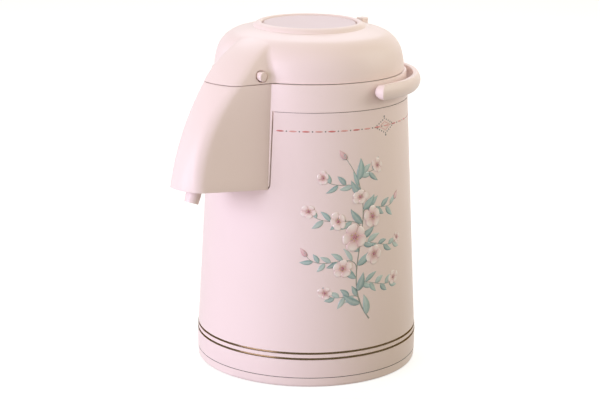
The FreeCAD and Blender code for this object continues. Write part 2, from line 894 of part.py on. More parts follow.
def lid_screw_places():
    return [(screw_circle * math.cos(a), screw_circle * math.sin(a))
            for a in (math.radians(45 + 90 * i) for i in range(4))]


def nose_half_width(height):
    """Half width of the nose at the buttons, between its foot and its first level."""
    foot = lid_foot_height
    share = (height - foot) / (nose_heights[0] - foot)
    gauge = spout_top["half_width"] + share * (nose_lower["half_width"] - spout_top["half_width"])
    return gauge - spout_top["taper"] * (button_front - spout_gauge)


def nose_lean():
    """How much the nose's side leans in at the buttons, for each millimetre of height."""
    return (spout_top["half_width"] - nose_lower["half_width"]) / (nose_heights[0] - lid_foot_height)


def button_dish():
    """Shallow round dish in the nose's side, square to its wall, that the button stands in."""
    face = V(nose_half_width(button_height), -button_front, button_height)
    outward = V(1, -spout_top["taper"], nose_lean()).normalize()
    return rod(button_dish_radius, face - outward * button_dish_depth, face + outward * button_stand)


def flange_plane():
    """Outer side of a button's flange, clear of the nose's leaning wall all round."""
    slope = math.hypot(spout_top["taper"], nose_lean())
    wall = lid_wall * math.hypot(1, slope)
    return nose_half_width(button_height) - wall - button_flange_radius * slope - slide_play


def latch_plane():
    """Outer side of a button's latch arm."""
    return flange_plane() - slide_play


def soft_valley(skin):
    """Round the inner corner where the nose runs into the dome."""
    nose_skin = Part.makeCompound(nose_form(0).Faces)
    dome_skin = Part.makeCompound(dome_room(0).Faces)
    foot = lid_foot_height
    valley = []
    for edge in skin.Edges:
        middle = edge.valueAt((edge.FirstParameter + edge.LastParameter) / 2)
        point = Part.Vertex(middle)
        meets = max(point.distToShape(nose_skin)[0], point.distToShape(dome_skin)[0]) < press_play
        if meets and middle.z > foot + press_play:
            valley.append(edge)
    return skin.makeFillet(valley_radius, valley)


def lid_shell():
    """Domed lid with its nose, hinge knuckle, screw bosses, slider rails and button ribs."""
    nose_room = nose_form(lid_wall)
    room = dome_room(lid_wall)
    wall = dome_wall().cut(nose_room)
    nose = nose_form(0).cut([nose_room, room])
    bosses = [rod(screw_boss_radius, (x, y, lid_plate_height), (x, y, rim_foot_height)).common(
              dome_room(lid_wall / 2)) for x, y in lid_screw_places()]
    knuckle = rod(knuckle_radius, (-knuckle_half_length, hinge_back, hinge_height),
                  (knuckle_half_length, hinge_back, hinge_height))
    web = box((-knuckle_half_length, lid_radius - 1.5 * lid_wall, hinge_height - knuckle_radius + seat_play),
              (knuckle_half_length, hinge_back, hinge_height + knuckle_radius))
    rail_low = lock_tongue_height - seat_play - rail_wall
    inner = push_bore_radius + guide_wall / 2
    rail = box((lock_half_width + seat_play, inner, rail_low),
               (lock_half_width + seat_play + rail_width, lid_radius, rail_low + rail_wall))
    rail = rail.common(dome_room(lid_wall / 2))
    span = button_flange_radius + lid_wall
    rib = box((button_rib, -button_front - span, lid_foot_height),
              (button_rib + button_rib_wall, -lid_plate_radius - seam, nose_heights[2]))
    rib = rib.common(nose_form(lid_wall / 2))
    body = fused([soft_valley(fused([wall, nose])), knuckle, web, rail, mirrored(rail), rib, mirrored(rib)]
                 + bosses)
    notch = box((knuckle_half_length, lid_radius - 3 * lid_wall, shoulder_top_height),
                (knuckle_half_length + 2 * slide_play + ear_thickness, hinge_back + 2 * knuckle_radius,
                 hinge_height + knuckle_radius + slide_play))
    pin_hole = rod(hinge_pin_radius + running_fit, (-lid_radius, hinge_back, hinge_height),
                   (lid_radius, hinge_back, hinge_height))
    slot = box((-lock_half_width - slide_play, lock_rear - lock_length - lock_travel - slide_play,
                lock_tongue_height + lock_tongue_wall),
               (lock_half_width + slide_play, lock_rear + slide_play, rim_top_height))
    tongue_way = box((-lock_tongue_half_width - slide_play, 0, lock_tongue_height - seat_play),
                     (lock_tongue_half_width + slide_play, push_bore_radius + 2 * guide_wall,
                      lock_tongue_height + lock_tongue_wall + slide_play))
    bore = rod(button_radius + slide_play, (flange_plane() - lid_wall, -button_front, button_height),
               (lid_radius, -button_front, button_height))
    stem_hole = rod(button_stem_radius + slide_play, (0, -button_front, button_height),
                    (flange_plane(), -button_front, button_height))
    hole_top = lid_plate_height + screw_length
    screw_holes = [rod(screw_radius + press_play, (x, y, lid_plate_height), (x, y, hole_top))
                   for x, y in lid_screw_places()]
    dish = button_dish()
    holes = [notch, mirrored(notch), pin_hole, slot, tongue_way, bore, mirrored(bore), stem_hole,
             mirrored(stem_hole), dish, mirrored(dish)] + screw_holes
    return body.cut(holes)


def lid_plate():
    """Round plate that closes the lid from below, with its air holes and screw holes."""
    low = lid_plate_height - lid_plate_wall
    plate = rod(lid_plate_radius, (0, 0, low), (0, 0, lid_plate_height))
    holes = [rod(screw_radius + slide_play, (x, y, low), (x, y, lid_plate_height))
             for x, y in lid_screw_places()]
    holes.append(rod(valve_stem_radius + press_play, (0, 0, low), (0, 0, lid_plate_height)))
    for i in range(air_hole_count):
        a = 2 * math.pi * i / air_hole_count
        x = air_hole_circle * math.cos(a)
        y = air_hole_circle * math.sin(a)
        holes.append(rod(air_hole_radius, (x, y, low), (x, y, lid_plate_height)))
    return plate.cut(holes)


def lid_seal():
    """Rubber ring under the plate that closes on the neck's collar."""
    top = lid_plate_height - lid_plate_wall
    low = collar_top + seat_play
    lip = (lid_seal_outer_radius - lid_seal_inner_radius) / 4
    return turned([
        (lid_seal_inner_radius + lip, low),
        (lid_seal_outer_radius - lip, low),
        (lid_seal_outer_radius, low + lip),
        (lid_seal_outer_radius, top),
        (lid_seal_inner_radius, top),
        (lid_seal_inner_radius, low + lip),
    ])


def air_valve():
    """Rubber valve: a disc under the plate's air holes, held by its stem and bulb."""
    low = lid_plate_height - lid_plate_wall
    return turned([
        (0, low - valve_disc_wall),
        (valve_disc_radius, low - valve_disc_wall / 2),
        (valve_disc_radius, low),
        (valve_stem_radius, low),
        (valve_stem_radius, lid_plate_height),
        (valve_stem_radius + 3 * valve_disc_wall / 4, lid_plate_height),
        (valve_stem_radius, lid_plate_height + 2 * valve_disc_wall),
        (0, lid_plate_height + 2 * valve_disc_wall),
    ])


def plate_screws():
    """Four pan-head screws up through the plate into the lid's bosses."""
    low = lid_plate_height - lid_plate_wall
    screws = []
    for x, y in lid_screw_places():
        shank = rod(screw_radius, (x, y, low), (x, y, lid_plate_height + screw_length - seam))
        head = rod(screw_head_radius, (x, y, low - screw_head_height), (x, y, low))
        screws.append(shank.fuse(head).removeSplitter())
    return Part.makeCompound(screws)


def push_plate():
    """Dished plate with a skirt that runs in the lid's guide tube."""
    edge = plate_wall / 2
    mid = edge * (1 - math.sqrt(0.5))
    under = plate_top_height - plate_wall
    skirt_low = under - plate_skirt_height + plate_wall
    skirt_inner = plate_radius - plate_wall
    return turned([
        (0, plate_top_height - plate_dish),
        (plate_radius / 2, plate_top_height - 0.75 * plate_dish, plate_radius - edge, plate_top_height),
        (plate_radius - mid, plate_top_height - mid, plate_radius, plate_top_height - edge),
        (plate_radius, skirt_low),
        (skirt_inner, skirt_low),
        (skirt_inner, under),
        (0, under),
    ])


def bellows_top():
    return plate_top_height - plate_wall - bellows_cap_height


def bellows_cap():
    """Tray under the push plate that carries the bellows' top and centres its spring."""
    low = bellows_top()
    top = plate_top_height - plate_wall
    boss = spring_radius - spring_wire - slide_play
    rim = bellows_cap_radius - bellows_wall
    web = low + bellows_cap_height / 2
    return turned([
        (0, low - spring_boss_height),
        (boss, low - spring_boss_height),
        (boss, low),
        (bellows_cap_radius, low),
        (bellows_cap_radius, top),
        (rim, top),
        (rim, web),
        (0, web),
    ])


def bellows():
    """Folded rubber tube with a flange at each end."""
    low = lid_plate_height
    high = bellows_top()
    foot = low + bellows_flange
    pitch = (high - low - 2 * bellows_flange) / bellows_folds
    folds = [(bellows_inner_radius, foot)]
    for i in range(bellows_folds):
        folds.append((bellows_outer_radius, foot + (i + 0.5) * pitch))
        folds.append((bellows_inner_radius, foot + (i + 1) * pitch))
    inside = [(r - bellows_wall, z) for r, z in reversed(folds)]
    flange = bellows_outer_radius
    outside = [(flange, low), (flange, foot)] + folds + [(flange, high - bellows_flange), (flange, high)]
    return turned(outside + [(bellows_inner_radius - bellows_wall, high)] + inside
                  + [(bellows_inner_radius - bellows_wall, low)])


def bellows_spring():
    return coil(spring_radius, spring_wire, lid_plate_height, bellows_top(), spring_turns, "bellows spring")


def lock_slider():
    """Knob on a post through the dome, with a tongue that slides towards the push plate."""
    front = lock_rear - lock_length
    post = box((-lock_half_width, front, lock_tongue_height), (lock_half_width, lock_rear, lock_top_height))
    rounded = [e for e in post.Edges if e.BoundBox.ZMin > lock_tongue_height + lock_tongue_wall
               or e.BoundBox.ZLength > lock_tongue_wall]
    post = post.makeFillet(lock_half_width / 3, rounded)
    tongue = box((-lock_tongue_half_width, lock_tongue_tip, lock_tongue_height),
                 (lock_tongue_half_width, lock_rear - lock_length / 3, lock_tongue_height + lock_tongue_wall))
    return fused([post, tongue])


def handle():
    """Half-ring carrying handle with rounded ends that turn on the pivots."""
    low = handle_height - handle_width / 2
    high = handle_height + handle_width / 2
    outer = handle_inner_radius + handle_thickness
    shoulder_radius = outer - handle_crown
    edge = handle_edge_round
    mid = edge * (1 - math.sqrt(0.5))
    inner = handle_inner_radius
    ring = turned([
        (inner, low + edge),
        (inner + mid, low + mid, inner + edge, low),
        (shoulder_radius, low),
        (outer, handle_height, shoulder_radius, high),
        (inner + edge, high),
        (inner + mid, high - mid, inner, high - edge),
    ])
    wide = 2 * outer
    back = box((-wide, -pivot_front, 0), (wide, wide, 2 * handle_height))
    end_radius = handle_width / 2
    ends = rod(end_radius, (-wide, -pivot_front, handle_height), (wide, -pivot_front, handle_height))
    bow = ring.common(back.fuse(ends))
    ring_side = shell_top_radius + slide_play
    boss_face = math.sqrt(ring_side ** 2 - (pivot_front - end_radius) ** 2)
    middle = math.sqrt((inner + edge) ** 2 - pivot_front ** 2)
    boss = rod(end_radius - edge, (boss_face, -pivot_front, handle_height),
               (middle, -pivot_front, handle_height))
    hole = rod(pivot_radius + running_fit, (0, -pivot_front, handle_height),
               (inner + pivot_reach, -pivot_front, handle_height))
    return fused([bow, boss, mirrored(boss)]).cut([hole, mirrored(hole)])


def right_button():
    """Release button: rounded head, flange behind the wall, guided stem and latch arm."""
    face = nose_half_width(button_height) + button_stand
    flange = flange_plane()
    inner = flange - button_flange_wall

    def at(x):
        return x, -button_front, button_height

    head = rod(button_radius, at(inner), at(face))
    front = [edge for edge in head.Edges
             if abs(edge.BoundBox.XMin - face) < press_play and edge.BoundBox.XLength < press_play]
    head = head.makeFillet(button_round, front)
    disc = rod(button_flange_radius, at(inner), at(flange))
    stem = rod(button_stem_radius, at(inner - button_stem_length), at(inner))
    low = latch_foot_height
    arm = box((inner, -button_front - latch_half_width, low),
              (latch_plane(), -button_front + latch_half_width, button_height))
    barb = Part.Face(Part.makePolygon([
        V(latch_plane(), -button_front - latch_half_width, low),
        V(latch_plane() + latch_barb, -button_front - latch_half_width, low + latch_barb_height),
        V(latch_plane(), -button_front - latch_half_width, low + latch_barb_height),
        V(latch_plane(), -button_front - latch_half_width, low),
    ])).extrude(V(0, 2 * latch_half_width, 0))
    return fused([head, disc, stem, arm, barb])


def right_button_spring():
    """Small spring on the button's stem, between the lid's rib and the button's flange."""
    low = button_rib + button_rib_wall
    high = flange_plane() - button_flange_wall
    spring = coil(button_spring_radius, button_spring_wire, low, high, button_spring_turns, "button spring")
    spring.rotate(V(0, 0, 0), V(0, 1, 0), 90)
    spring.translate(V(0, -button_front, button_height))
    return spring


pieces = {
    "base_ring": base_ring(),
    "bottom_cap": bottom_cap(),
    "liner_cushion": liner_cushion(),
    "glass_jacket": glass_jacket(),
    "glass_flask": glass_flask(),
    "flask_neck": flask_neck(),
    "mouth_seal": mouth_seal(),
    "outer_shell": outer_shell(),
    "shoulder": shoulder(),
    "spout_cover": spout_cover(),
    "nozzle": nozzle(),
    "spout_pipe": spout_pipe(),
    "pipe_seal": pipe_seal(),
    "dip_pipe": dip_pipe(),
    "hinge_pin": hinge_pin(),
    "handle_pivots": handle_pivots(),
    "lid_shell": lid_shell(),
    "lid_plate": lid_plate(),
    "lid_seal": lid_seal(),
    "air_valve": air_valve(),
    "plate_screws": plate_screws(),
    "bellows": bellows(),
    "bellows_spring": bellows_spring(),
    "bellows_cap": bellows_cap(),
    "push_plate": push_plate(),
    "lock_slider": lock_slider(),
    "handle": handle(),
    "right_button": right_button(),
    "right_button_spring": right_button_spring(),
    "left_button": mirrored(right_button()),
    "left_button_spring": mirrored(right_button_spring()),
}

os.makedirs("parts", exist_ok=True)
for name, shape in pieces.items():
    print(name, len(shape.Solids), shape.isValid(), "%.0f mm3" % shape.Volume)
    shape.exportStep("parts/%s.step" % name)
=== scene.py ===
import math
import random

import bmesh
import bpy
from mathutils import Matrix, Vector


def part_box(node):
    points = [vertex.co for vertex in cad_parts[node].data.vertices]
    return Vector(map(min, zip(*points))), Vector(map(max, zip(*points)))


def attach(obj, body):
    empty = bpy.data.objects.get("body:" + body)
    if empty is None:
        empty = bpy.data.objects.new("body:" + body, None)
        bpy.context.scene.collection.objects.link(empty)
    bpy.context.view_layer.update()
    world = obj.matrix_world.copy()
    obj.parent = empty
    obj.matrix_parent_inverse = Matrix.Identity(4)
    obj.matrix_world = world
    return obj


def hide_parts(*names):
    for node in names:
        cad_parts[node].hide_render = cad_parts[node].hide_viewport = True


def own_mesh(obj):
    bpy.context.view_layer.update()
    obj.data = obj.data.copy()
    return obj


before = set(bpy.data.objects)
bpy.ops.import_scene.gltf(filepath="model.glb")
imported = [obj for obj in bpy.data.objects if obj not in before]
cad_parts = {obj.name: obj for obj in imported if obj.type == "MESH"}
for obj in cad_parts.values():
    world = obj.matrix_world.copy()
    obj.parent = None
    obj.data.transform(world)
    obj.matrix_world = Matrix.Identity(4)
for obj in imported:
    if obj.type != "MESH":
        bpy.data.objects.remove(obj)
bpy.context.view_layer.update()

# Base ring: the ring that the pot stands on, of pale ivory plastic with a soft gloss.
# It is moulded in one piece, with a rounded foot and a land that the shell's lower edge sits on.
mm = 0.001
base_height = 7.2
shell_foot_radius = 85.6
shell_wall = 1.0
seam = 0.5
near = 0.05
weld_gap = 1e-6
crease = math.radians(32)
drift_scale = 22.0
gloss_scale = 60.0
grain_scale = 900.0
grain_strength = 0.05
grain_depth = 0.0002


class Field:
    """A value that varies over a surface. Sums and products of fields become shader nodes."""

    def __init__(self, tree, socket=None):
        self.tree = tree
        self.socket = socket

    def node(self, kind, settings=None, sockets=None, out=0):
        """A new node: its settings first, then the values or links of its sockets."""
        made = self.tree.nodes.new(kind)
        for name, value in (settings or {}).items():
            setattr(made, name, value)
        for name, value in (sockets or {}).items():
            if isinstance(value, Field):
                self.tree.links.new(value.socket, made.inputs[name])
            else:
                made.inputs[name].default_value = value
        return Field(self.tree, made.outputs[out])

    def maths(self, operation, first, second):
        return self.node("ShaderNodeMath", {"operation": operation}, {0: first, 1: second})

    def __add__(self, other):
        return self.maths("ADD", self, other)

    def __mul__(self, other):
        return self.maths("MULTIPLY", self, other)

    __radd__ = __add__
    __rmul__ = __mul__

    def mixed(self, first, second):
        """A colour between two colours, by this field. A Mix node takes them at 6 and 7, and gives 2."""
        return self.node("ShaderNodeMix", {"data_type": "RGBA"}, {0: self, 6: first, 7: second}, out=2)

    def noise(self, scale, detail=2.0):
        """Cloudy variation of the surface, in its own frame, with this many grains per metre."""
        place = self.node("ShaderNodeTexCoord", out="Object")
        return self.node("ShaderNodeTexNoise", {}, {"Vector": place, "Scale": scale, "Detail": detail})


def finish(name, steady, varying):
    """A material: steady values and a function that gives the varying ones for its fields."""
    material = bpy.data.materials.new(name)
    material.use_nodes = True
    tree = material.node_tree
    shader = tree.nodes["Principled BSDF"]
    for socket, value in steady.items():
        shader.inputs[socket].default_value = value
    for socket, field in varying(Field(tree)).items():
        tree.links.new(field.socket, shader.inputs[socket])
    return material


def smooth_finish(name, light, dark, roughness, spread, steady=None):
    """A smooth finish: slow drift of colour, roughness that varies a little and a fine grain."""
    def varying(field):
        drift = field.noise(drift_scale)
        gloss = field.noise(gloss_scale)
        grain = field.noise(grain_scale, 3.0)
        relief = field.node("ShaderNodeBump", {}, {"Strength": grain_strength, "Distance": grain_depth,
                                                   "Height": grain})
        return {"Base Color": drift.mixed((*light, 1), (*dark, 1)),
                "Roughness": roughness + spread * gloss + 0.5 * spread * grain,
                "Normal": relief}
    return finish(name, steady or {}, varying)


def paint_joint_shade(bm, inside):
    """Paint the faces that line a joint near-black, as painted shade in the gap; inside(radius, height)
    picks them.
    """
    for face in bm.faces:
        centre = face.calc_center_median() / mm
        if inside(centre.xy.length, centre.z):
            face.material_index = 1
    return bm


def show(name, bm, material, body, nodes=()):
    """Make a bmesh a piece of the pot, smooth except at its creases."""
    mesh = bpy.data.meshes.new(name)
    bm.to_mesh(mesh)
    bm.free()
    if mesh.has_custom_normals:
        mesh.attributes.remove(mesh.attributes["custom_normal"])
    mesh.shade_smooth()
    mesh.set_sharp_from_angle(angle=crease)
    mesh.materials.append(material)
    # Faces picked for the joints take the second material, their painted shade.
    if any(face.material_index for face in mesh.polygons):
        mesh.materials.append(painted_joint_shade)
    piece = bpy.data.objects.new(name, mesh)
    bpy.context.scene.collection.objects.link(piece)
    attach(piece, body)
    if nodes:
        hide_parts(*nodes)
    return piece


def fine_copy(node):
    """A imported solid's mesh with its loose triangles joined, so that it can be smooth."""
    bm = bmesh.new()
    bm.from_mesh(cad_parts[node].data)
    bmesh.ops.remove_doubles(bm, verts=bm.verts, dist=weld_gap)
    return bm


ivory_plastic = smooth_finish("ivory_plastic", (0.87, 0.72, 0.69), (0.855, 0.70, 0.67), 0.30, 0.10,
                              {"Specular IOR Level": 0.3, "IOR": 1.49})
# Painted shade: a near-black finish for the faces inside the joints, in place of the shade in their gaps.
painted_joint_shade = smooth_finish("painted_joint_shade", (0.16, 0.125, 0.11), (0.11, 0.085, 0.075), 0.6, 0.1)
# Painted shade: the land's faces under the shell's lower edge are painted near-black, as the shade in that
# joint.
ring = paint_joint_shade(fine_copy("base_ring"), lambda radius, height:
                   radius > shell_foot_radius - shell_wall
                   and base_height - near < height < base_height + seam)
show("base_ring_moulding", ring, ivory_plastic, "pot", ["base_ring"])

# Parts inside the shell: the screwed bottom cap, the rubber cushion, the silvered glass liner and its
# mouth seal. The cap is ivory plastic like the base ring, the cushion and the seal are grey-white silicone.
silicone = smooth_finish("silicone", (0.55, 0.53, 0.49), (0.50, 0.48, 0.45), 0.55, 0.15, {"IOR": 1.41})


def silvered(field):
    cloud = field.noise(35.0)
    return {"Base Color": cloud.mixed((0.86, 0.87, 0.88, 1), (0.74, 0.76, 0.78, 1)),
            "Roughness": 0.06 + 0.08 * cloud}


def fine_piece(node, material, body):
    """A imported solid's own shape, smooth and with its finish, in the solid's place."""
    return show(node + "_fine", fine_copy(node), material, body, [node])


mirror_glass = finish("mirror_glass", {"Metallic": 1.0, "Coat Weight": 1.0, "Coat Roughness": 0.03},
                      silvered)
for node, material, slot in (("bottom_cap", ivory_plastic, "case_plastic"),
                             ("liner_cushion", silicone, "seal_rubber"),
                             ("glass_jacket", mirror_glass, "liner_glass"),
                             ("glass_flask", mirror_glass, "liner_glass"),
                             ("flask_neck", mirror_glass, "liner_glass"),
                             ("mouth_seal", silicone, "seal_rubber")):
    fine_piece(node, material, "pot")

# Outer shell: a tapered sheet sleeve with a smooth ivory enamel.
# Its lower edge curls in to the base ring, and a notch at the front takes the spout's flange.
shell_top_radius = 75.8
shell_top_height = 207.8
ivory_enamel = smooth_finish("ivory_enamel", (0.86, 0.71, 0.69), (0.845, 0.695, 0.67), 0.30, 0.08,
                             {"Specular IOR Level": 0.1, "IOR": 1.5})
# Painted shade: the shell's faces at its top edge and its curled lower edge are painted near-black, as the
# shade in those joints.
shell = paint_joint_shade(fine_copy("outer_shell"), lambda radius, height:
                    height > shell_top_height - near or height < base_height + seam + near)
show("outer_shell_enamel", shell, ivory_enamel, "pot", ["outer_shell"])

# Gold bands: two narrow beads round the foot of the shell, coated with dark burnished gold.
# Each is a low line of metal paste, laid on the enamel and sagged a little towards its lower edge.
cone_foot_height = 27.5
belly_radius = 85.5
belly_height = 23.3
belly_fall = 0.085
band_half = 0.76
band_proud = 0.1
band_sag = math.radians(11)
band_drop = 0.8
band_turns = 256
band_sides = 12


def gilt(field):
    worn = field.noise(160.0, 4.0)
    return {"Base Color": worn.mixed((0.125, 0.082, 0.042, 1), (0.09, 0.058, 0.029, 1)),
            "Roughness": 0.17 + 0.06 * worn}


gold = finish("gold", {"Metallic": 1.0, "Specular Tint": (0.5, 0.42, 0.34, 1)}, gilt)
for place, height in (("lower", belly_height - band_drop), ("upper", cone_foot_height - band_drop)):
    radius = belly_radius - belly_fall * max(0.0, height - belly_height) + band_half * math.sin(band_sag)
    bead = bmesh.new()
    section = (Matrix.Translation((radius * mm, 0, height * mm)) @ Matrix.Rotation(-band_sag, 4, "Y")
               @ Matrix.Scale(band_proud / band_half, 4, (1, 0, 0)) @ Matrix.Rotation(math.pi / 2, 4, "X"))
    bmesh.ops.create_circle(bead, segments=band_sides, radius=band_half * mm, matrix=section)
    bmesh.ops.spin(bead, geom=bead.verts[:] + bead.edges[:], axis=(0, 0, 1), angle=math.tau,
                   steps=band_turns, use_merge=True)
    bmesh.ops.recalc_face_normals(bead, faces=bead.faces)
    show("gold_band_" + place, bead, gold, "pot")

# Printed line: a ring of rose-red dashes with dark dots between them, high on the shell, and a lozenge
# of dots on each side. Like the spray below, it is a ceramic transfer of coloured ink on the enamel.
cone_foot_radius = 85.2
ink_thickness = 0.03
ink_weld_gap = 1e-7
rose_ink = (0.56, 0.10, 0.085)
faded_rose_ink = (0.66, 0.26, 0.22)
dark_ink = (0.055, 0.042, 0.040)
line_height = 194.3
line_start = math.radians(24.0)
dash_length = 6.2
dash_half = 0.62
dash_pitch = 9.6
dash_bluntness = 0.6
dash_grid = (8, 2)
dot_radius = 0.55
lozenge_half_width = 10.5
lozenge_half_height = 5.6
lozenge_steps = 5
inner_lozenge = 0.55
inner_dot_radius = 0.44
tip_gap = 1.4
tip_dot_radius = 0.77


def cone_radius(height):
    """Outside radius of the shell's cone, in millimetres."""
    fall = (shell_top_radius - cone_foot_radius) / (shell_top_height - cone_foot_height)
    return cone_foot_radius + fall * (height - cone_foot_height)


def inked(field):
    ink = field.node("ShaderNodeAttribute", {"attribute_name": "ink"}, out="Color")
    wash = field.noise(520.0, 3.0)
    pale = field.node("ShaderNodeMix", {"data_type": "RGBA", "blend_type": "SCREEN"},
                      {0: 1.0, 6: ink, 7: (0.16, 0.15, 0.14, 1)}, out=2)
    return {"Base Color": wash.mixed(ink, pale), "Roughness": 0.24 + 0.12 * wash}


ink_print = finish("ink_print", {"Coat Weight": 0.4, "Coat Roughness": 0.06}, inked)


class Print:
    """A transfer made of inked patches, each laid a little higher than the one before it."""

    def __init__(self, turn, height, step):
        self.turn, self.height, self.step = turn, height, step
        self.lift = ink_thickness
        self.bm = bmesh.new()
        self.ink = self.bm.verts.layers.float_color.new("ink")

    def on_shell(self, aside, up):
        """A point of the enamel, so many millimetres round the shell and up from the print's centre."""
        height = self.height + up
        turn = self.turn + aside / cone_radius(height)
        radius = cone_radius(height) + self.lift
        return Vector((radius * math.sin(turn), -radius * math.cos(turn), height)) * mm

    def patch(self, along, across, place, colour):
        """A grid laid by place(u, w) and inked by colour(u, w), with u from 0 to 1 and w from -1 to 1."""
        self.lift += self.step
        made = bmesh.ops.create_grid(self.bm, x_segments=along, y_segments=across, size=0.5)
        for vert in made["verts"]:
            u, w = vert.co.x + 0.5, 2 * vert.co.y
            vert[self.ink] = (*colour(u, w), 1)
            vert.co = self.on_shell(*place(u, w))

    def dot(self, aside, up, radius, colour, sides=10):
        self.lift += self.step
        made = bmesh.ops.create_circle(self.bm, cap_ends=True, segments=sides, radius=radius)
        for vert in made["verts"]:
            vert[self.ink] = (*colour, 1)
            vert.co = self.on_shell(aside + vert.co.x, up + vert.co.y)

    def show(self, name):
        bmesh.ops.remove_doubles(self.bm, verts=self.bm.verts, dist=ink_weld_gap)
        piece = show(name, self.bm, ink_print, "pot")
        skin = piece.modifiers.new("film", "SOLIDIFY")
        skin.thickness = ink_thickness * mm
        skin.offset = -1.0


line = Print(math.pi, line_height, 0.0)
half_line = (math.pi - line_start) * cone_radius(line_height)
dash_count = int(2 * half_line / dash_pitch)
for i in range(dash_count):
    start = -half_line + i * dash_pitch
    tint = rose_ink if i % 2 == 0 else faded_rose_ink
    line.patch(*dash_grid, lambda u, w: (start + u * dash_length,
                                         w * dash_half * math.sin(math.pi * u) ** dash_bluntness),
               lambda u, w: tint)
    line.dot(start + (dash_length + dash_pitch) / 2, 0, dot_radius, dark_ink)
for side in (-1, 1):
    centre = side * math.pi / 2 * cone_radius(line_height)
    for share, size, tint in ((1.0, dot_radius, dark_ink),
                              (inner_lozenge, inner_dot_radius, faded_rose_ink)):
        for i in range(lozenge_steps):
            along = i / lozenge_steps
            for right, up in ((1, 1), (-1, 1), (1, -1), (-1, -1)):
                aside = right * share * lozenge_half_width * ((1 - along) if right * up > 0 else along)
                rise = up * share * lozenge_half_height * (along if right * up > 0 else (1 - along))
                line.dot(centre + aside, rise, size, tint)
    for up in (-1, 1):
        line.dot(centre, up * (lozenge_half_height + tip_gap), tip_dot_radius, dark_ink)
line.show("printed_line")

# Printed spray: an upright spray of small five-petalled blossoms and slender leaves on the side of the
# shell. The leaves are washes of teal and grey-green, the blossoms rose fading to white.
spray_turn = math.radians(70)
spray_height = 113.0
spray_step = 0.0015
stem_ink = (0.21, 0.22, 0.17)
stem_taper = 0.55
stem_grid = (24, 1)
leaf_inks = ((0.10, 0.22, 0.22), (0.16, 0.31, 0.30), (0.25, 0.39, 0.36), (0.34, 0.45, 0.42))
leaf_rib_ink = (0.62, 0.68, 0.63)
leaf_root_ink = (0.07, 0.15, 0.15)
leaf_grid = (10, 4)
petal_inks = ((0.60, 0.27, 0.29), (0.70, 0.40, 0.40), (0.78, 0.54, 0.52))
petal_rim_ink = (0.88, 0.76, 0.72)
petal_count = 5
petal_root = 0.06
petal_notch = 0.10
petal_corner = 0.22
petal_grid = (7, 6)
throat_ink = (0.36, 0.07, 0.10)
throat_reach = 0.45
throat_dot = 0.13
pollen_ink = (0.55, 0.33, 0.10)
pollen_count = 6
pollen_reach = 0.26
pollen_dot = 0.055
sepal_lean = 0.5
sepal_bend = 0.6
sepal_length = 0.55
sepal_width = 0.26
bud_light_ink = (0.86, 0.72, 0.69)
bud_half_width = 0.24
bud_grid = (7, 4)
chance = random.Random(7)
spray = Print(spray_turn, spray_height, spray_step)


def between(a, b, share):
    return tuple(p + (q - p) * share for p, q in zip(a, b))


def bezier(knots, t):
    """A point and heading on a cubic curve in the plane of the print."""
    a, b, c, d = (Vector(k) for k in knots)
    point = a * (1 - t) ** 3 + b * 3 * t * (1 - t) ** 2 + c * 3 * t * t * (1 - t) + d * t ** 3
    way = (b - a) * (1 - t) ** 2 + (c - b) * 2 * t * (1 - t) + (d - c) * t * t
    return point, math.atan2(way.y, way.x)


def stem(knots, width):
    """A stem along a curve, thinner towards its tip."""
    def place(u, w):
        point, way = bezier(knots, u)
        half = width * (1 - stem_taper * u) / 2
        return point.x - half * w * math.sin(way), point.y + half * w * math.cos(way)

    spray.patch(*stem_grid, place, lambda u, w: stem_ink)


def leaf(at, heading, length, width, bend, ink):
    """A slender leaf with a pale rib, one half lighter than the other."""
    def place(u, w):
        half = width / 2 * math.sin(math.pi * u ** 0.8) * w
        way = heading + bend * u
        along = length * u
        drift = length * bend * u * u / 2
        return (at[0] + along * math.cos(heading) - drift * math.sin(heading) - half * math.sin(way),
                at[1] + along * math.sin(heading) + drift * math.cos(heading) + half * math.cos(way))

    def colour(u, w):
        shade = between(ink, leaf_rib_ink, 0.55 * (1 - abs(w)) ** 2 + (0.22 if w > 0 else 0.0))
        return between(shade, leaf_root_ink, 0.35 * (1 - u) ** 2)

    spray.patch(*leaf_grid, place, colour)


def blossom(at, radius, turn, lean, ink):
    """Five notched petals round a dark throat, drawn a little in along one way as if seen aslant."""
    def laid(reach, angle):
        x, y = reach * math.cos(angle), lean * reach * math.sin(angle)
        return (at[0] + x * math.cos(turn) - y * math.sin(turn),
                at[1] + x * math.sin(turn) + y * math.cos(turn))

    for petal in range(petal_count):
        middle = math.tau * petal / petal_count + chance.uniform(-0.12, 0.12)
        size = radius * chance.uniform(0.9, 1.08)
        tint = between(ink, petal_inks[2], chance.uniform(0, 0.5))

        def place(u, w):
            spread = 0.30 + 0.42 * math.sin(math.pi * (0.08 + 0.70 * u))
            notch = 1 - petal_notch * u * (1 - abs(w)) - petal_corner * u * w * w
            return laid(size * (petal_root + (1 - petal_root) * u) * notch, middle + w * spread)

        def colour(u, w):
            fade = between(tint, petal_rim_ink, min(1.0, 1.25 * u) * (1 - 0.75 * w * w))
            return between(fade, throat_ink, 0.75 * max(0.0, throat_reach - u) / throat_reach)

        spray.patch(*petal_grid, place, colour)
    spray.dot(*at, radius * throat_dot, throat_ink, sides=12)
    for i in range(pollen_count):
        angle = math.tau * i / pollen_count + turn
        spray.dot(*laid(radius * pollen_reach, angle), radius * pollen_dot, pollen_ink, sides=6)


def bud(at, heading, length, ink):
    """A closed bud in two small green sepals."""
    for side, green in ((1, leaf_inks[1]), (-1, leaf_inks[0])):
        leaf(at, heading + side * sepal_lean, length * sepal_length, length * sepal_width,
             -side * sepal_bend, green)

    def place(u, w):
        half = length * bud_half_width * math.sin(math.pi * u ** 0.7) * w
        return (at[0] + length * u * math.cos(heading) - half * math.sin(heading),
                at[1] + length * u * math.sin(heading) + half * math.cos(heading))

    spray.patch(*bud_grid, place, lambda u, w: between(ink, bud_light_ink, 0.7 * (1 - w * w) * u))


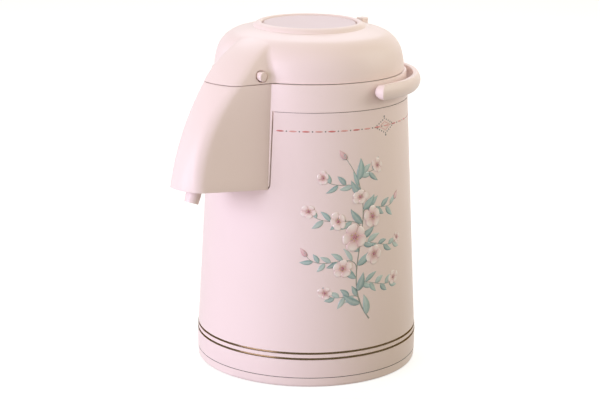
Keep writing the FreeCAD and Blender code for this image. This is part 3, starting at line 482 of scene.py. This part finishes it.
main_stem = ((9, -63), (-22, -26), (26, 14), (-9, 60))
main_leaves = 11
twigs = ((0.12, (-27, -40), 7), (0.20, (35, -36), 7), (0.34, (-40, -12), 8), (0.45, (40, -6), 7),
         (0.57, (-38, 22), 7), (0.67, (37, 24), 6), (0.80, (-27, 47), 5), (0.88, (18, 53), 4))
stem(main_stem, width=1.1)
tips = []
for share, end, leaves in twigs:
    root = bezier(main_stem, share)[0]
    tip = Vector(end)
    rise = Vector((0, 0.45 * abs(tip.x - root.x)))
    knots = (root, root + rise, tip - rise * 0.6 - (tip - root) * 0.25, tip)
    stem(knots, width=0.7)
    tips.append((tip, bezier(knots, 1.0)[1]))
    for i in range(leaves):
        along = 0.22 + 0.74 * i / leaves
        point, heading = bezier(knots, along)
        side = 1 if i % 2 else -1
        leaf(point, heading + side * chance.uniform(0.65, 1.05),
             length=chance.uniform(8.5, 13.0) * (1.1 - 0.3 * along), width=chance.uniform(3.4, 4.6),
             bend=-side * chance.uniform(0.2, 0.8), ink=chance.choice(leaf_inks))
for i in range(main_leaves):
    point, heading = bezier(main_stem, 0.03 + 0.085 * i)
    side = 1 if i % 2 else -1
    leaf(point, heading + side * chance.uniform(0.7, 1.2),
         length=chance.uniform(13, 18), width=chance.uniform(5.0, 6.5),
         bend=-side * chance.uniform(0.3, 0.9), ink=chance.choice(leaf_inks))
for i, (tip, heading) in enumerate(tips):
    if i % 3 == 2:
        bud(tip, heading, 8.0, petal_inks[0])
    else:
        blossom(tip, radius=chance.uniform(5.4, 6.8), turn=chance.uniform(0, math.tau), lean=0.82,
                ink=petal_inks[i % 3])
bud(main_stem[3], bezier(main_stem, 1.0)[1], 9.0, petal_inks[0])
for at, radius, turn, lean, tint in (((-13, -22), 9.2, 0.3, 0.85, 1), ((14, -14), 8.4, 1.1, 0.9, 0),
                                     ((-3, 1), 11.5, 0.7, 0.92, 0), ((-16, 14), 8.0, 2.0, 0.8, 2),
                                     ((13, 15), 9.4, 1.6, 0.86, 1), ((2, 31), 7.6, 0.1, 0.84, 2)):
    blossom(at, radius, turn, lean, petal_inks[tint])
spray.show("printed_spray")

# Shoulder: one ivory moulding of the ring above the shell and the hollow spout housing.
# Its flange fills the shell's notch, flush with the enamel, and its outer edges are a little rounded.
shoulder_top = 228.2
shoulder_top_radius = 74.4
flange_half_width = 27.9
spout_front = 80.0
spout_rim_height = 160.0
sharp_corner = math.radians(40)
edge_round = 0.5
edge_segments = 3
ring_round = 0.85
ring_front = 69.0
ring_step = 0.5
ring_slack = 0.1
top_slack = 0.01


def round_edges(bm, radius, chosen):
    """Round the sharp outer edges whose middles are chosen."""
    edges = []
    for edge in bm.edges:
        if len(edge.link_faces) == 2 and edge.calc_face_angle_signed() > sharp_corner:
            middle = (edge.verts[0].co + edge.verts[1].co) / (2 * mm)
            facing = edge.link_faces[0].normal + edge.link_faces[1].normal
            if facing.xy.dot(middle.xy) > 0 and chosen(middle):
                edges.append(edge)
    bmesh.ops.bevel(bm, geom=edges, offset=radius * mm, offset_type="OFFSET", affect="EDGES",
                    segments=edge_segments, profile=0.5, material=-1, clamp_overlap=True)


housing = fine_copy("shoulder")
for vert in housing.verts:
    radius, height = vert.co.xy.length / mm, vert.co.z / mm
    beside_top = shoulder_top - ring_round < height < shoulder_top + top_slack
    if abs(radius - shoulder_top_radius) < ring_round and beside_top and vert.co.y > -ring_front * mm:
        vert.co.xy *= shoulder_top_radius / radius
        vert.co.z = shoulder_top * mm
        vert.tag = True
bmesh.ops.remove_doubles(housing, verts=[vert for vert in housing.verts if vert.tag], dist=ring_step * mm)
bmesh.ops.dissolve_degenerate(housing, edges=housing.edges, dist=weld_gap)
round_edges(housing, edge_round, lambda middle:
            abs(middle.z - shoulder_top) < near and middle.xy.length > shoulder_top_radius - ring_slack
            or middle.y < -spout_front and middle.z < spout_rim_height
            or abs(abs(middle.x) - flange_half_width) < near and middle.z < shell_top_height)
show("shoulder_moulding", housing, ivory_plastic, "pot", ["shoulder"])

# Deck fills: bits of the same ivory moulding that make the deck and the lip of the mouth whole.
# They close the slots and notches that the bore of the handle pivots cuts on its way across.
bore_radius = 2.52
bore_front = 6.8
bore_height = 220.95
bore_sides = 48
deck_floor = 219.0
deck_height = 221.0
lip_height = 222.5
lip_inner_radius = 33.5
lip_outer_radius = 37.0
boss_face = 65.4


def bore_plug(name, cuts):
    """A length of the bore on each side, kept behind each plane of a point and an outward direction."""
    plug = bmesh.new()
    lying = (Matrix.Translation(Vector((boss_face / 2, -bore_front, bore_height)) * mm)
             @ Matrix.Rotation(math.pi / 2, 4, "Y"))
    bmesh.ops.create_cone(plug, cap_ends=True, segments=bore_sides, radius1=bore_radius * mm,
                          radius2=bore_radius * mm, depth=boss_face * mm, matrix=lying)
    for point, outward in cuts:
        cut = bmesh.ops.bisect_plane(plug, geom=plug.verts[:] + plug.edges[:] + plug.faces[:],
                                     plane_co=Vector(point) * mm, plane_no=outward, clear_outer=True)
        rim = [item for item in cut["geom_cut"] if isinstance(item, bmesh.types.BMEdge)]
        bmesh.ops.edgeloop_fill(plug, edges=rim)
    bmesh.ops.mirror(plug, geom=plug.verts[:] + plug.edges[:] + plug.faces[:], axis="X", merge_dist=0.0)
    bmesh.ops.recalc_face_normals(plug, faces=plug.faces)
    show(name, plug, ivory_plastic, "pot")


inner_wall = Vector((math.sqrt(lip_inner_radius ** 2 - bore_front ** 2), -bore_front, 0))
outer_wall = Vector((math.sqrt(lip_outer_radius ** 2 - bore_front ** 2), -bore_front, 0))
bore_plug("lip_fill", ((inner_wall, -inner_wall), (outer_wall, outer_wall),
                       ((0, 0, lip_height), (0, 0, 1))))
bore_plug("deck_fill", ((outer_wall, -outer_wall), ((0, 0, deck_floor), (0, 0, -1)),
                        ((0, 0, deck_height), (0, 0, 1))))

# Water way: the spout's cover, the nozzle, the two pipes and the grommet that joins them.
# The nozzle is ivory like the spout, the pipes are natural white plastic.
white_plastic = smooth_finish("white_plastic", (0.80, 0.78, 0.72), (0.76, 0.74, 0.68), 0.42, 0.12)
for node, material, slot in (("spout_cover", ivory_plastic, "case_plastic"),
                             ("nozzle", ivory_plastic, "case_plastic"),
                             ("spout_pipe", white_plastic, "inner_plastic"),
                             ("dip_pipe", white_plastic, "inner_plastic"),
                             ("pipe_seal", silicone, "seal_rubber")):
    fine_piece(node, material, "pot")


# Pins: the lid's hinge pin and the two handle pivots, of plain drawn steel.
# They are pressed into the shoulder's bosses.
def drawn(field):
    scuff = field.noise(400.0, 4.0)
    return {"Base Color": scuff.mixed((0.62, 0.62, 0.63, 1), (0.50, 0.50, 0.52, 1)),
            "Roughness": 0.25 + 0.2 * scuff}


steel = finish("steel", {"Metallic": 1.0}, drawn)
for node in ("hinge_pin", "handle_pivots"):
    fine_piece(node, steel, "pot")

# Lid: the domed shell with its nose, closed below by a screwed plate that carries a seal and an air valve.
# The shell is the same ivory plastic as the shoulder, and the plate is white plastic like the pipes.
for node, material, slot in (("lid_shell", ivory_plastic, "case_plastic"),
                             ("lid_plate", white_plastic, "inner_plastic"),
                             ("lid_seal", silicone, "seal_rubber"),
                             ("air_valve", silicone, "seal_rubber"),
                             ("plate_screws", steel, "steel")):
    fine_piece(node, material, "lid")

# Pump: the round push plate, the cap under it, and the rubber bellows with its return spring.
# The plate is a slightly greyer plastic than the lid, dished for the palm.
plate_plastic = smooth_finish("plate_plastic", (0.74, 0.595, 0.61), (0.715, 0.575, 0.59), 0.38, 0.10,
                              {"Specular IOR Level": 0.3, "IOR": 1.49})
fine_piece("push_plate", plate_plastic, "pump")
fine_piece("bellows_cap", white_plastic, "pump")
fold_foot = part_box("bellows")[0].z
for node, material, slot in (("bellows", silicone, "seal_rubber"), ("bellows_spring", steel, "steel")):
    soft = fine_piece(node, material, "lid")
    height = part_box(node)[1].z - fold_foot
    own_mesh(soft)

# Lock slider, release buttons and carrying handle: mouldings of the same ivory plastic. The slider runs
# in a slot of the lid, the buttons stand in round pockets of the nose, and the handle turns on its pivots.
for node, body in (("lock_slider", "lock"), ("right_button", "button_right"),
                   ("left_button", "button_left"), ("handle", "carrier")):
    fine_piece(node, ivory_plastic, body)

# Button springs: small steel coils on the buttons' stems, between a rib of the lid and the button's flange.
# Each gets a mesh of its own. On the pot, each is pressed shorter towards its rib as the button goes in.
for side, inner in (("right", 0), ("left", 1)):
    node = side + "_button_spring"
    coil = fine_piece(node, steel, "lid")
    side + "_press"
    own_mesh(coil)

# Studio: a pale floor that runs out of the picture, a large soft lamp at the left, a weaker one high at the
# back, a small one beside the lid and an even warm surround. The floor shows white and keeps the shadow.
black = (0, 0, 0, 1)
white = (1, 1, 1, 1)
floor_half_width = 6.0
floor_squares = 8
floor_colour = (0.42, 0.41, 0.39, 1)
floor_glow = 0.72
surround_colour = (1.0, 0.94, 0.67, 1)
surround_light = 0.564
camera_azimuth = math.radians(42)
camera_round = Matrix.Rotation(camera_azimuth, 4, "Z")
bpy.context.scene.view_settings.view_transform = "Standard"


def seen(field):
    """One where the floor or surround is looked at, straight, in a mirror or through glass."""
    straight, mirrored, through = (field.node("ShaderNodeLightPath", out=ray) for ray in
                                   ("Is Camera Ray", "Is Glossy Ray", "Is Transmission Ray"))
    return field.maths("MAXIMUM", straight, field.maths("MAXIMUM", mirrored, through))


def lamp(name, aside, rise, target, distance, size, spread, watts, colour):
    """A square soft lamp that faces a height of the pot, so many degrees right of the camera and up."""
    light = bpy.data.lights.new(name, "AREA")
    light.size = size
    light.spread = math.radians(spread)
    light.energy = watts
    light.color = colour
    holder = bpy.data.objects.new(name, light)
    turn = Matrix.Rotation(math.radians(aside), 4, "Z") @ Matrix.Rotation(math.radians(90 - rise), 4, "X")
    holder.matrix_world = (Matrix.Translation((0, 0, target)) @ camera_round @ turn
                           @ Matrix.Translation((0, 0, distance)))
    holder.visible_camera = False
    bpy.context.scene.collection.objects.link(holder)


paper = finish("paper", {"Base Color": floor_colour, "Roughness": 0.9, "Emission Strength": floor_glow},
               lambda field: {"Emission Color": seen(field).mixed(black, white)})
floor_bm = bmesh.new()
bmesh.ops.create_grid(floor_bm, x_segments=floor_squares, y_segments=floor_squares, size=floor_half_width)
floor_mesh = bpy.data.meshes.new("floor")
floor_bm.to_mesh(floor_mesh)
floor_bm.free()
floor_mesh.materials.append(paper)
floor = bpy.data.objects.new("floor", floor_mesh)
bpy.context.scene.collection.objects.link(floor)

world = bpy.data.worlds.new("surround")
bpy.context.scene.world = world
world.use_nodes = True
backdrop = world.node_tree.nodes["Background"]
looked_at = seen(Field(world.node_tree))
for socket, field in (("Color", looked_at.mixed(surround_colour, white)),
                      ("Strength", surround_light + (1 - surround_light) * looked_at)):
    world.node_tree.links.new(field.socket, backdrop.inputs[socket])

lamp("key_lamp", aside=-50, rise=6, target=0.14, distance=1.75, size=1.2, spread=180, watts=35.4,
     colour=(0.76, 0.75, 1.0))
lamp("back_lamp", aside=180, rise=45, target=0.14, distance=1.75, size=1.2, spread=180, watts=11.8,
     colour=(0.75, 0.78, 1.0))
lamp("lid_lamp", aside=90, rise=23, target=0.23, distance=0.49, size=0.4, spread=60, watts=0.21,
     colour=(1.0, 1.0, 1.0))

# Camera: where the photograph was taken from, right of the spout and above the lid. A long lens looks down
# at the pot, turned and rolled a little so that the pot stands where the photograph has it.
camera_distance = 1.3496
camera_height = 0.4693
pitch = 0.2509
yaw = -0.00437
roll = -0.0099
camera = bpy.data.cameras.new("camera")
camera.sensor_width = 36.0
camera.lens = 107.16
viewpoint = bpy.data.objects.new("camera", camera)
bpy.context.scene.collection.objects.link(viewpoint)
viewpoint.matrix_world = (camera_round @ Matrix.Translation((0, -camera_distance, camera_height))
                          @ Matrix.Rotation(-yaw, 4, "Z") @ Matrix.Rotation(math.pi / 2 - pitch, 4, "X")
                          @ Matrix.Rotation(-roll, 4, "Z"))
bpy.context.scene.camera = viewpoint
